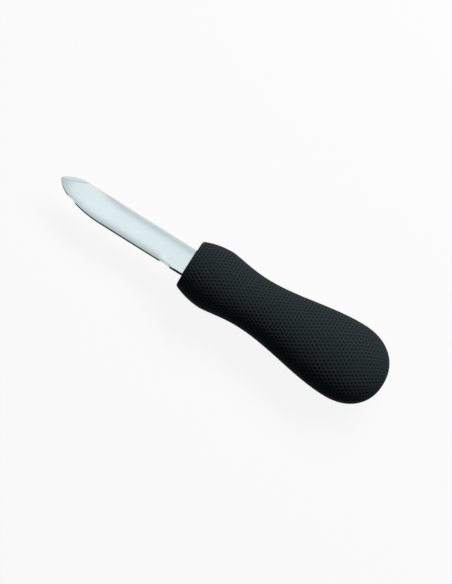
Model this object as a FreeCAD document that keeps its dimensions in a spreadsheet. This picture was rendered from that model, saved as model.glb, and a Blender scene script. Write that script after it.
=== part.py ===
"""Oyster knife: a ground blade with a hidden tang, a rigid core and a soft grip moulded over both.

The blade points along -X with its flat faces level, the handle along +X. The blade's middle plane
and the handle's middle plane are one, and the handle lies on its flare and its palm swell.
"""
import FreeCAD, Part
import math
import os
import Sketcher

Vector = FreeCAD.Vector
ORIGIN = -1
START = 1
END = 2
CENTRE = 3

# Driving dimensions, in millimetres.
DIMENSIONS = [
    ("blade_length", 76.2, "tip to the front face of the handle"),
    ("blade_width", 14.9, "spine to the unground edge beside the handle"),
    ("blade_thickness", 2.6, "between the two ground faces"),
    ("nose_radius", 1.2, "rounding of the point, seen on the flat"),
    ("point_rise", 2.5, "height of the point above the blade's middle line"),
    ("spine_radius", 18.0, "arc from the spine to the point"),
    ("edge_tip_radius", 14.0, "arc from the point into the belly"),
    ("belly_radius", 60.0, "long arc of the edge behind the point"),
    ("belly_length", 28.0, "tip to where the edge runs straight"),
    ("edge_set_back", 0.2, "how far grinding sets the edge behind the ricasso"),
    ("ricasso_length", 10.6, "unground stretch of the edge in front of the handle"),
    ("taper_length", 36.0, "stretch over which the faces thin towards the tip"),
    ("tip_thickness", 1.1, "thickness at the very tip"),
    ("bevel_width", 2.4, "bevel along both edges, across the face"),
    ("bevel_depth", 0.4, "bevel along both edges, down the side"),
    ("facet_length", 13.2, "flat ground on the spine's side of the tip, along the blade"),
    ("facet_slope", 0.2, "fall of that flat towards the spine, for each millimetre across"),
    ("scallop_radius", 6.5, "round of the two grinding scallops in the edge"),
    ("scallop_depth", 0.3, "depth of the two grinding scallops"),
    ("scallop_flare", 1.1, "how much further each scallop reaches at the faces"),
    ("tip_scallop_at", 10.0, "tip to the middle of the front scallop"),
    ("heel_show", 0.4, "unground heel left in front of the handle"),
    ("stock_thickness", 2.8, "thickness of the unground heel and tang"),
    ("heel_depth", 5.0, "full-width heel inside the handle"),
    ("tang_width", 9.0, "tang behind the heel"),
    ("tang_length", 80.0, "front face of the handle to the end of the tang"),
    ("tang_round", 2.5, "rounding of the corners at the end of the tang"),
    ("lock_hole_diameter", 5.0, "holes in the tang that the core fills"),
    ("lock_hole_at", 24.0, "front face of the handle to the first hole"),
    ("lock_hole_pitch", 34.0, "distance between the two holes"),
    ("handle_length", 113.0, "front face to the end of the butt"),
    ("lie_thickness", 29.0, "thickness of the flare and of the palm swell"),
    ("front_width", 25.9, "front face of the handle, across the blade's flat"),
    ("front_thickness", 21.5, "front face of the handle, through the blade"),
    ("front_round", 1.0, "rounding of the front rim"),
    ("flare_at", 15.8, "front face to the crest of the finger flare"),
    ("flare_width", 32.7, "crest of the finger flare"),
    ("waist_at", 36.8, "front face to the narrowest section"),
    ("waist_width", 28.4, "narrowest section, across"),
    ("waist_thickness", 23.6, "narrowest section, through"),
    ("palm_at", 89.9, "front face to the widest section, where the round butt begins"),
    ("palm_width", 41.5, "widest section, across"),
    ("grip_wall", 3.2, "soft skin over the core"),
    ("front_wall", 3.0, "soft skin in front of the core"),
    ("window_diameter", 6.0, "holes in the core that the skin fills"),
    ("window_at", 76.0, "front face of the handle to those holes"),
    ("window_wall", 2.0, "core left between those holes and its own side"),
]

# Shares of each stretch of the handle at which a further section is drawn.
CHEEK_SHARES = (0.4, 0.8)
FLANK_SHARES = (0.25, 0.6)
SWELL_SHARES = (0.25, 0.5, 0.75)

# Power that draws the flare's fall forward: 1 is even, less is quicker behind the crest.
FALL_POWER = 0.75

# Power of the butt's curve: 2 is an oval, more is blunter.
BUTT_FULLNESS = 2.2

# Angles round the front rim and round the butt at which a section is drawn.
RIM_ANGLES = (0, 45, 90)
DOME_ANGLES = (12, 25, 45, 62, 75, 84)


def make_sheet(doc):
    """Write the driving dimensions into a spreadsheet, one aliased cell each."""
    sheet = doc.addObject("Spreadsheet::Sheet", "dims")
    for row, (alias, value, note) in enumerate(DIMENSIONS, start=1):
        sheet.set(f"A{row}", note)
        sheet.set(f"B{row}", str(value))
        sheet.setAlias(f"B{row}", alias)
    return sheet


def dim(alias):
    """Read one driving dimension."""
    return float(sheet.get(alias))


def origin_plane(body, role):
    """Find one of the body's own origin planes."""
    return next(plane for plane in body.Origin.OriginFeatures if plane.Role == role)


def new_sketch(body, name, role):
    """Start a sketch on one of the body's origin planes."""
    sketch = body.newObject("Sketcher::SketchObject", name)
    sketch.AttachmentSupport = [(origin_plane(body, role), "")]
    sketch.MapMode = "FlatFace"
    return sketch


def bind(sketch, name, expression, kind, *references):
    """Add a constraint to a sketch and tie its size to the sheet."""
    value = evaluate(expression)
    index = sketch.addConstraint(Sketcher.Constraint(kind, *references, value))
    sketch.renameConstraint(index, name)
    sketch.setExpression(f"Constraints.{name}", expression)


def evaluate(expression):
    """Work out an expression on the sheet's cells as a plain number."""
    return float(sheet.evalExpression(expression))


def place_point(sketch, name, geometry, position, x, y):
    """Fix a point of a sketch by its two distances from the origin."""
    for axis, kind, expression in (("x", "DistanceX", x), ("y", "DistanceY", y)):
        bind(sketch, f"{name}_{axis}", expression, kind, ORIGIN, START, geometry, position)


def closed_polygon(sketch, name, corners):
    """Draw a closed polygon whose corners are pairs of expressions."""
    points = [Vector(evaluate(x), evaluate(y), 0) for x, y in corners]
    count = len(points)
    first = sketch.GeometryCount
    for i in range(count):
        sketch.addGeometry(Part.LineSegment(points[i], points[(i + 1) % count]), False)
    for i in range(count):
        after = first + (i + 1) % count
        sketch.addConstraint(Sketcher.Constraint("Coincident", first + i, END, after, START))
        place_point(sketch, f"{name}_{i}", first + i, START, *corners[i])


def bound_circle(sketch, name, x, y, radius):
    """Draw a circle whose centre and radius are expressions."""
    middle = Vector(evaluate(x), evaluate(y), 0)
    circle = sketch.addGeometry(Part.Circle(middle, Vector(0, 0, 1), evaluate(radius)), False)
    place_point(sketch, name, circle, CENTRE, x, y)
    bind(sketch, f"{name}_radius", radius, "Radius", circle)


def tangent_chain(sketch, pieces):
    """Join pieces of an outline end to start, each tangent to the next."""
    for before, after in zip(pieces, pieces[1:]):
        sketch.addConstraint(Sketcher.Constraint("Tangent", before, END, after, START))


def straight_chain(sketch, pieces):
    """Join pieces of an outline end to start at corners."""
    for before, after in zip(pieces, pieces[1:]):
        sketch.addConstraint(Sketcher.Constraint("Coincident", before, END, after, START))


def direction(start, end):
    """Angle of the line from one point to another."""
    return math.atan2(end.y - start.y, end.x - start.x)


def add_arc(sketch, centre, radius, first, last):
    """Draw an arc anticlockwise between two angles."""
    circle = Part.Circle(centre, Vector(0, 0, 1), radius)
    return sketch.addGeometry(Part.ArcOfCircle(circle, first, last), False)


def inner_tangent_centre(near, near_gap, far, far_gap):
    """Centre that lies at two given distances from two points, on the right of the line between."""
    line = far - near
    along = (near_gap ** 2 - far_gap ** 2 + line.Length ** 2) / (2 * line.Length)
    aside = math.sqrt(near_gap ** 2 - along ** 2)
    line.normalize()
    return near + line * along + Vector(line.y, -line.x, 0) * aside


def draw_blade_outline(sketch):
    """Draw the blade seen on its flat: spine, round point, belly, straight edge and ricasso."""
    half_width = dim("blade_width") / 2
    edge_y = dim("edge_set_back") - half_width
    nose = Vector(dim("nose_radius") - dim("blade_length"), dim("point_rise"), 0)
    spine_gap = dim("spine_radius") - dim("nose_radius")
    spine_drop = half_width - dim("spine_radius") - nose.y
    spine_centre = nose + Vector(math.sqrt(spine_gap ** 2 - spine_drop ** 2), spine_drop, 0)
    belly = Vector(dim("belly_length") - dim("blade_length"), edge_y + dim("belly_radius"), 0)
    tip = inner_tangent_centre(
        nose, dim("edge_tip_radius") - dim("nose_radius"),
        belly, dim("belly_radius") - dim("edge_tip_radius"))

    up = math.radians(90)
    down = math.radians(270)
    spine_angle = direction(spine_centre, nose)
    tip_angle = direction(tip, nose) % math.radians(360)
    belly_angle = direction(belly, tip) % math.radians(360)
    spine_end = Vector(-dim("heel_show"), half_width, 0)
    edge_end = Vector(-dim("ricasso_length"), edge_y, 0)
    ricasso_start = Vector(edge_end.x, -half_width, 0)
    ricasso_end = Vector(spine_end.x, -half_width, 0)

    spine_line = sketch.addGeometry(
        Part.LineSegment(spine_end, Vector(spine_centre.x, half_width, 0)), False)
    spine_arc = add_arc(sketch, spine_centre, dim("spine_radius"), up, spine_angle)
    nose_arc = add_arc(sketch, nose, dim("nose_radius"), spine_angle, tip_angle)
    tip_arc = add_arc(sketch, tip, dim("edge_tip_radius"), tip_angle, belly_angle)
    belly_arc = add_arc(sketch, belly, dim("belly_radius"), belly_angle, down)
    edge_line = sketch.addGeometry(Part.LineSegment(Vector(belly.x, edge_y, 0), edge_end), False)
    step_line = sketch.addGeometry(Part.LineSegment(edge_end, ricasso_start), False)
    ricasso_line = sketch.addGeometry(Part.LineSegment(ricasso_start, ricasso_end), False)
    heel_line = sketch.addGeometry(Part.LineSegment(ricasso_end, spine_end), False)

    tangent_chain(sketch, [spine_line, spine_arc, nose_arc, tip_arc, belly_arc, edge_line])
    straight_chain(sketch, [edge_line, step_line, ricasso_line, heel_line, spine_line])
    for level in (spine_line, edge_line, ricasso_line):
        sketch.addConstraint(Sketcher.Constraint("Horizontal", level))
    for upright in (step_line, heel_line):
        sketch.addConstraint(Sketcher.Constraint("Vertical", upright))
    place_point(sketch, "spine_end", spine_line, START, "-dims.heel_show", "dims.blade_width / 2")
    place_point(sketch, "edge_end", edge_line, END,
                "-dims.ricasso_length", "dims.edge_set_back - dims.blade_width / 2")
    bind(sketch, "ricasso_y", "-dims.blade_width / 2", "DistanceY", ORIGIN, START, ricasso_line, END)
    place_point(sketch, "nose", nose_arc, CENTRE, "dims.nose_radius - dims.blade_length", "dims.point_rise")
    bind(sketch, "belly_x", "dims.belly_length - dims.blade_length", "DistanceX",
         ORIGIN, START, belly_arc, CENTRE)
    for arc, alias in ((spine_arc, "spine_radius"), (nose_arc, "nose_radius"),
                       (tip_arc, "edge_tip_radius"), (belly_arc, "belly_radius")):
        bind(sketch, alias, f"dims.{alias}", "Radius", arc)


def draw_taper(sketch):
    """Draw the wedge ground off one face, from a tangent start down to the tip's thickness."""
    thinning = "(dims.blade_thickness - dims.tip_thickness) / 2"
    radius = f"(dims.taper_length^2 + ({thinning})^2) / (2 * {thinning})"
    start_x = "dims.taper_length - dims.blade_length"
    past_x = "-dims.blade_length - dims.nose_radius"
    face = "dims.blade_thickness / 2"
    clear = "dims.blade_thickness"
    centre = Vector(evaluate(start_x), evaluate(f"{face} - {radius}"), 0)
    reach = evaluate(start_x) - evaluate(past_x)
    sweep = math.asin(reach / evaluate(radius))
    top = Vector(centre.x, evaluate(face), 0)
    low = centre + Vector(-reach, evaluate(radius) * math.cos(sweep), 0)
    high_left = Vector(low.x, evaluate(clear), 0)
    high_right = Vector(top.x, evaluate(clear), 0)

    up = math.radians(90)
    arc = add_arc(sketch, centre, evaluate(radius), up, up + sweep)
    left = sketch.addGeometry(Part.LineSegment(low, high_left), False)
    roof = sketch.addGeometry(Part.LineSegment(high_left, high_right), False)
    right = sketch.addGeometry(Part.LineSegment(high_right, top), False)
    straight_chain(sketch, [arc, left, roof, right, arc])
    sketch.addConstraint(Sketcher.Constraint("Vertical", left))
    sketch.addConstraint(Sketcher.Constraint("Horizontal", roof))
    sketch.addConstraint(Sketcher.Constraint("Vertical", right))
    place_point(sketch, "start", arc, START, start_x, face)
    bind(sketch, "past_x", past_x, "DistanceX", ORIGIN, START, arc, END)
    bind(sketch, "centre_x", start_x, "DistanceX", ORIGIN, START, arc, CENTRE)
    bind(sketch, "roof_y", clear, "DistanceY", ORIGIN, START, roof, START)
    bind(sketch, "radius", radius, "Radius", arc)


def draw_tang(sketch):
    """Draw the full-width heel and the narrow tang behind it."""
    front = "-dims.heel_show"
    shoulder = "dims.heel_depth"
    end = "dims.tang_length"
    heel = "dims.blade_width / 2"
    tang = "dims.tang_width / 2"
    corners = [(front, f"-{heel}"), (shoulder, f"-{heel}"), (shoulder, f"-{tang}"), (end, f"-{tang}"),
               (end, tang), (shoulder, tang), (shoulder, heel), (front, heel)]
    closed_polygon(sketch, "corner", corners)


def pad_through(body, name, sketch, thickness):
    """Pad a sketch to both sides of its plane."""
    pad = body.newObject("PartDesign::Pad", name)
    pad.Profile = sketch
    pad.SideType = "Symmetric"
    pad.setExpression("Length", thickness)
    doc.recompute()
    return pad


def pocket_through(body, name, sketch):
    """Cut a sketch through the whole body to both sides of its plane."""
    before = body.Tip.Shape.Volume
    pocket = body.newObject("PartDesign::Pocket", name)
    pocket.Profile = sketch
    pocket.Type = "ThroughAll"
    pocket.SideType = "Symmetric"
    doc.recompute()
    if pocket.Shape.Volume >= before:
        raise ValueError(f"{name} cuts nothing")
    return pocket


def make_blade():
    """Build the blade, its heel and its tang as one piece of steel."""
    body = doc.addObject("PartDesign::Body", "blade")
    outline = new_sketch(body, "blade_outline", "XY_Plane")
    draw_blade_outline(outline)
    pad_through(body, "blade_blank", outline, "dims.blade_thickness")

    spine_bevel = add_bevel(body, "spine_bevel", (outline, ["Edge1", "Edge2"]),
                            "dims.blade_width / 2", "-dims.heel_show")
    edge_bevel = add_bevel(body, "edge_bevel", (outline, ["Edge6", "Edge5", "Edge4"]),
                           "dims.edge_set_back - dims.blade_width / 2", "-dims.ricasso_length")
    wedge = new_sketch(body, "tip_wedge", "XZ_Plane")
    draw_taper(wedge)
    taper = pocket_through(body, "tip_taper", wedge)
    facet = add_tip_facet(body)
    mirror = body.newObject("PartDesign::Mirrored", "ground_below")
    mirror.Originals = [spine_bevel, edge_bevel, taper, facet]
    mirror.MirrorPlane = (origin_plane(body, "XY_Plane"), [""])
    body.Tip = mirror
    doc.recompute()

    tang = new_sketch(body, "tang_outline", "XY_Plane")
    draw_tang(tang)
    pad_through(body, "tang_pad", tang, "dims.stock_thickness")
    round_tang_end(body)

    holes = new_sketch(body, "lock_holes", "XY_Plane")
    for number in range(2):
        place = f"dims.lock_hole_at + {number} * dims.lock_hole_pitch"
        bound_circle(holes, f"hole_{number}", place, "0", "dims.lock_hole_diameter / 2")
    pocket_through(body, "lock_hole_cut", holes)

    reach = "(1 + (dims.scallop_radius - dims.scallop_depth) / dims.belly_radius)"
    back = "(dims.belly_length - dims.tip_scallop_at)"
    drop = f"sqrt(dims.belly_radius^2 - {back}^2)"
    edge = "dims.edge_set_back - dims.blade_width / 2"
    add_scallop(body, "tip_scallop",
                f"dims.belly_length - dims.blade_length - {back} * {reach}",
                f"{edge} + dims.belly_radius - {drop} * {reach}")
    add_scallop(body, "ricasso_scallop", "-dims.ricasso_length",
                "dims.scallop_depth - dims.scallop_radius - dims.blade_width / 2")
    return body


def add_bevel(body, name, path, rim, start):
    """Sweep the bevel's wedge along an edge of the upper face."""
    before = body.Tip.Shape.Volume
    wedge = new_sketch(body, f"{name}_wedge", "YZ_Plane")
    wedge.setExpression("AttachmentOffset.Base.z", start)
    outward = "1" if evaluate(rim) > 0 else "-1"
    face = "dims.blade_thickness / 2"
    inner = f"{rim} - {outward} * dims.bevel_width"
    outer = f"{rim} + {outward} * dims.bevel_width"
    corners = [(inner, face), (outer, f"{face} - 2 * dims.bevel_depth"),
               (outer, "dims.blade_thickness"), (inner, "dims.blade_thickness")]
    closed_polygon(wedge, "corner", corners)
    pipe = body.newObject("PartDesign::SubtractivePipe", name)
    pipe.Profile = wedge
    pipe.Spine = path
    doc.recompute()
    if pipe.Shape.Volume >= before:
        raise ValueError(f"{name} cuts nothing")
    return pipe


def add_tip_facet(body):
    """Grind a flat off the upper face along a straight line from the point to the spine."""
    before = body.Tip.Shape.Volume
    start = "(dims.point_rise + dims.nose_radius / 2)"
    low = "dims.tip_thickness / 2"
    across = f"(dims.blade_width / 2 - {start})"
    thinning = "(dims.blade_thickness - dims.tip_thickness) / 2"
    left = "(1 - dims.facet_length / dims.taper_length)^2"
    outer = f"{start} + {across}"
    corners = [(start, low), (outer, f"{low} - {across} * dims.facet_slope"),
               (outer, "dims.blade_thickness"), (start, "dims.blade_thickness")]
    profile = new_sketch(body, "tip_facet_profile", "YZ_Plane")
    profile.setExpression("AttachmentOffset.Base.z", "-dims.blade_length")
    closed_polygon(profile, "corner", corners)
    facet = body.newObject("PartDesign::Pocket", "tip_facet")
    facet.Profile = profile
    facet.UseCustomVector = True
    facet.AlongSketchNormal = False
    facet.setExpression("Direction.x", "dims.facet_length")
    facet.setExpression("Direction.y", across)
    facet.setExpression("Direction.z", f"{thinning} * (1 - {left})")
    facet.setExpression("Length", "2 * dims.facet_length")
    doc.recompute()
    if facet.Shape.Volume >= before:
        raise ValueError("the tip facet cuts nothing")
    return facet


def round_tang_end(body):
    """Round the two corners at the hidden end of the tang."""
    base = body.Tip
    reach = dim("tang_length") - dim("tang_round") / 2
    names = []
    for number, edge in enumerate(base.Shape.Edges, start=1):
        upright = abs(edge.tangentAt(edge.FirstParameter).z) > 0.9
        if upright and edge.CenterOfMass.x > reach:
            names.append(f"Edge{number}")
    fillet = body.newObject("PartDesign::Fillet", "tang_end")
    fillet.Base = (base, names)
    fillet.setExpression("Radius", "dims.tang_round")
    doc.recompute()


def add_scallop(body, name, x, y):
    """Turn a shallow hollow into the edge, wider at the faces than in the middle plane."""
    before = body.Tip.Shape.Volume
    sketch = new_sketch(body, f"{name}_profile", "XZ_Plane")
    sketch.setExpression("AttachmentOffset.Base.x", x)
    sketch.setExpression("AttachmentOffset.Base.z", f"-({y})")
    height = "dims.blade_thickness"
    waist = "dims.scallop_radius"
    rim = "dims.scallop_radius + 2 * dims.scallop_flare"
    corners = [("0", f"-{height}"), (rim, f"-{height}"), (waist, "0"), (rim, height), ("0", height)]
    closed_polygon(sketch, "corner", corners)
    groove = body.newObject("PartDesign::Groove", name)
    groove.Profile = sketch
    groove.ReferenceAxis = (sketch, ["V_Axis"])
    groove.Angle = 360
    doc.recompute()
    if groove.Shape.Volume >= before:
        raise ValueError(f"{name} cuts nothing")


def rise(share):
    """Growth from the front face to the flare, levelling out at the crest."""
    return 1 - (1 - share) ** 2


def fall(share):
    """Loss from the flare to the waist, quick behind the crest and level at both ends."""
    return swell(share ** FALL_POWER)


def swell(share):
    """Growth from the waist to the palm swell, level at both ends."""
    return 3 * share ** 2 - 2 * share ** 3


def between(first, last, share):
    """Expression for a size that lies a share of the way from one size to another."""
    return f"({first} + ({last} - {first}) * {share:.6f})"


def front_section(place, inset):
    """Section between the front face and the flare at a given place, drawn in by a wall."""
    left = f"(1 - ({place}) / dims.flare_at)^2"
    width = f"dims.flare_width - (dims.flare_width - dims.front_width) * {left} - 2 * {inset}"
    thickness = f"dims.lie_thickness - (dims.lie_thickness - dims.front_thickness) * {left} - 2 * {inset}"
    return place, width, thickness


def rim_sections():
    """Sections round the rim of the front face, as expressions."""
    sections = []
    for angle in RIM_ANGLES:
        back = 1 - math.cos(math.radians(angle))
        inset = 1 - math.sin(math.radians(angle))
        sections.append(front_section(f"dims.front_round * {back:.6f}", f"dims.front_round * {inset:.6f}"))
    return sections


def length_sections(inset):
    """Sections from the flare's front to the palm swell, drawn in by a wall, as expressions."""
    front = ("0", "dims.front_width", "dims.front_thickness")
    flare = ("dims.flare_at", "dims.flare_width", "dims.lie_thickness")
    waist = ("dims.waist_at", "dims.waist_width", "dims.waist_thickness")
    palm = ("dims.palm_at", "dims.palm_width", "dims.lie_thickness")
    sections = []
    for start, end, law, shares in ((front, flare, rise, CHEEK_SHARES),
                                    (flare, waist, fall, FLANK_SHARES),
                                    (waist, palm, swell, SWELL_SHARES)):
        for share in (*shares, 1):
            place = between(start[0], end[0], share)
            sizes = [between(start[i], end[i], law(share)) + f" - 2 * {inset}" for i in (1, 2)]
            sections.append((place, *sizes))
    return sections


def dome_sections(inset):
    """Sections of the round butt and the place of its end, drawn in by a wall, as expressions."""
    length = f"(dims.handle_length - dims.palm_at - {inset})"
    sections = []
    for angle in DOME_ANGLES:
        along = math.sin(math.radians(angle)) ** (2 / BUTT_FULLNESS)
        across = math.cos(math.radians(angle)) ** (2 / BUTT_FULLNESS)
        sections.append((f"dims.palm_at + {length} * {along:.6f}",
                         f"(dims.palm_width - 2 * {inset}) * {across:.6f}",
                         f"(dims.lie_thickness - 2 * {inset}) * {across:.6f}"))
    return sections, f"dims.palm_at + {length}"


def oval_sketch(body, name, place, width, thickness):
    """Draw one oval section across the handle."""
    sketch = new_sketch(body, name, "YZ_Plane")
    sketch.setExpression("AttachmentOffset.Base.z", place)
    across = Vector(evaluate(width) / 2, 0, 0)
    through = Vector(0, evaluate(thickness) / 2, 0)
    lies_flat = across.Length >= through.Length
    long_side, short_side = (across, through) if lies_flat else (through, across)
    long_size, short_size = (width, thickness) if lies_flat else (thickness, width)
    oval = sketch.addGeometry(Part.Ellipse(long_side, short_side, Vector(0, 0, 0)), False)
    sketch.exposeInternalGeometry(oval)
    long_axis = oval + 1
    short_axis = oval + 2
    sketch.addConstraint(Sketcher.Constraint("Coincident", oval, CENTRE, ORIGIN, START))
    sketch.addConstraint(Sketcher.Constraint("Horizontal" if lies_flat else "Vertical", long_axis))
    bind(sketch, "long_size", long_size, "Distance", long_axis, START, long_axis, END)
    bind(sketch, "short_size", short_size, "Distance", short_axis, START, short_axis, END)
    return sketch


def loft_body(name, sections, end):
    """Loft a body through oval sections to a point at the butt."""
    body = doc.addObject("PartDesign::Body", name)
    ovals = [oval_sketch(body, f"{name}_section_{i}", *sizes) for i, sizes in enumerate(sections)]
    butt = new_sketch(body, f"{name}_butt", "YZ_Plane")
    butt.setExpression("AttachmentOffset.Base.z", end)
    butt.addGeometry(Part.Point(Vector(0, 0, 0)), False)
    butt.addConstraint(Sketcher.Constraint("Coincident", 0, START, ORIGIN, START))
    doc.recompute()
    loft = body.newObject("PartDesign::AdditiveLoft", f"{name}_loft")
    loft.Profile = ovals[0]
    loft.Sections = ovals[1:] + [butt]
    doc.recompute()
    return body


def make_handle_form():
    """Build the whole handle's outer form, from its rounded front rim to the round butt."""
    dome, end = dome_sections("0")
    return loft_body("handle_form", rim_sections() + length_sections("0") + dome, end)


def make_core_form():
    """Build the core's outer form: the handle drawn in by the soft skin, with its windows."""
    wall = "dims.grip_wall"
    dome, end = dome_sections(wall)
    front = front_section("dims.front_wall", wall)
    body = loft_body("core_form", [front] + length_sections(wall) + dome, end)
    share = "((dims.window_at - dims.waist_at) / (dims.palm_at - dims.waist_at))"
    growth = f"(3 * {share}^2 - 2 * {share}^3)"
    side = f"(dims.waist_width + (dims.palm_width - dims.waist_width) * {growth}) / 2 - {wall}"
    aside = f"({side} - dims.window_wall - dims.window_diameter / 2)"
    windows = new_sketch(body, "windows", "XY_Plane")
    for name, y in (("left", aside), ("right", f"-{aside}")):
        bound_circle(windows, name, "dims.window_at", y, "dims.window_diameter / 2")
    pocket_through(body, "window_cut", windows)
    return body


def cut(name, base, tool):
    """Take one solid out of another."""
    result = doc.addObject("Part::Cut", name)
    result.Base = base
    result.Tool = tool
    doc.recompute()
    return result


def stand(body):
    """Centre the knife along X and lay its handle on the ground plane."""
    body.setExpression("Placement.Base.x", "(dims.blade_length - dims.handle_length) / 2")
    body.setExpression("Placement.Base.z", "dims.lie_thickness / 2")


def check(document, nodes):
    """Stop if any object failed, or any piece isn't one valid solid."""
    for item in document.Objects:
        if "Invalid" in item.State or "Error" in item.State:
            raise ValueError(f"{item.Name} failed: {item.State}")
    for node in nodes:
        if node.Shape.isNull() or not node.Shape.isValid() or len(node.Shape.Solids) != 1:
            raise ValueError(f"{node.Label} isn't one valid solid")


doc = FreeCAD.newDocument("oyster_knife")
sheet = make_sheet(doc)
doc.recompute()

blade = make_blade()
handle_form = make_handle_form()
core_form = make_core_form()
for body in (blade, handle_form, core_form):
    stand(body)
doc.recompute()
handle_core = cut("handle_core", core_form, blade)
grip_shell = cut("grip_shell", handle_form, core_form)
grip = cut("grip", grip_shell, blade)

pieces = [blade, handle_core, grip]
check(doc, pieces)
os.makedirs("parts", exist_ok=True)
for piece in pieces:
    piece.Shape.exportStep(f"parts/{piece.Label}.step")
    print(piece.Label, f"{piece.Shape.Volume:.1f} mm3")
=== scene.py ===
"""Oyster knife: a satin steel blade and a black soft grip covered in dimples, on a pale stage."""
import math

import bmesh
import bpy
import numpy as np
from mathutils import Matrix, Vector


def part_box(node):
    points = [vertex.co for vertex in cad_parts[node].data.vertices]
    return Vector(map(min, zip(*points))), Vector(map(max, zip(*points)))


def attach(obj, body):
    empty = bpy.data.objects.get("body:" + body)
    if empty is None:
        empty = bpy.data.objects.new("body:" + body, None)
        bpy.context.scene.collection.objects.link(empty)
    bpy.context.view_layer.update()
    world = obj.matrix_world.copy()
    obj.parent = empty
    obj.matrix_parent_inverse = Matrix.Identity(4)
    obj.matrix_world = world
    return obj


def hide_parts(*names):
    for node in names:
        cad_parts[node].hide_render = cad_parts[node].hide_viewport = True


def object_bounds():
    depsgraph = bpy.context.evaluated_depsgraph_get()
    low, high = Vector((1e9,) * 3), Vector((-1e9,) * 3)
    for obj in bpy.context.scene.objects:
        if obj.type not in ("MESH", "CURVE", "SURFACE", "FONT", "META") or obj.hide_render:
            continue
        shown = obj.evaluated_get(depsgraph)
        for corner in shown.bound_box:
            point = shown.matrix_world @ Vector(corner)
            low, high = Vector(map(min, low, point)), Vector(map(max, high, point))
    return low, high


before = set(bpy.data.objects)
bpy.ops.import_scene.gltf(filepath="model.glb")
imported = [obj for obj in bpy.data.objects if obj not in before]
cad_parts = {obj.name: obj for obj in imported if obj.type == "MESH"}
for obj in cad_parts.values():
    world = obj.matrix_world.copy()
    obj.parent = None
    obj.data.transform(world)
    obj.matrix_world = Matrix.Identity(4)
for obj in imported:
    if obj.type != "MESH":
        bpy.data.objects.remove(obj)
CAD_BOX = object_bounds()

bl_info = {
    "name": "Oyster Knife",
    "version": (1, 0, 0),
    "blender": (4, 5, 0),
    "location": "View3D > Sidebar > Oyster Knife",
    "description": "Models an oyster knife's blade and dimpled grip and lights them",
    "category": "Add Mesh",
}

MM = 0.001
WHITE = (1, 1, 1, 1)
GRIP_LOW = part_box("grip")[0]
BLADE_LOW, BLADE_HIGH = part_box("blade")
# Middle of the handle's front face in the knife's own frame. Blade and grip are modelled from it.
FRONT_FACE = Vector((GRIP_LOW[0], 0, (BLADE_LOW[2] + BLADE_HIGH[2]) / 2))


def number(name, description, value, **kind):
    """A plain number that a user may change."""
    return bpy.props.FloatProperty(name=name, description=description, default=value, **kind)


def share(name, description, value):
    """A share from 0 to 1 that a user may change."""
    return number(name, description, value, min=0, max=1, subtype="FACTOR")


def angle(name, description, degrees):
    """An angle that a user may change."""
    return number(name, description, math.radians(degrees), subtype="ANGLE")


def length(name, description, millimetres):
    """A size that a user may change, in metres."""
    return number(name, description, millimetres * MM, unit="LENGTH", precision=5)


def colour(name, description, rgb):
    """A colour that a user may change."""
    return bpy.props.FloatVectorProperty(
        name=name, description=description, default=rgb, size=3, subtype="COLOR", min=0, max=1)


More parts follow.
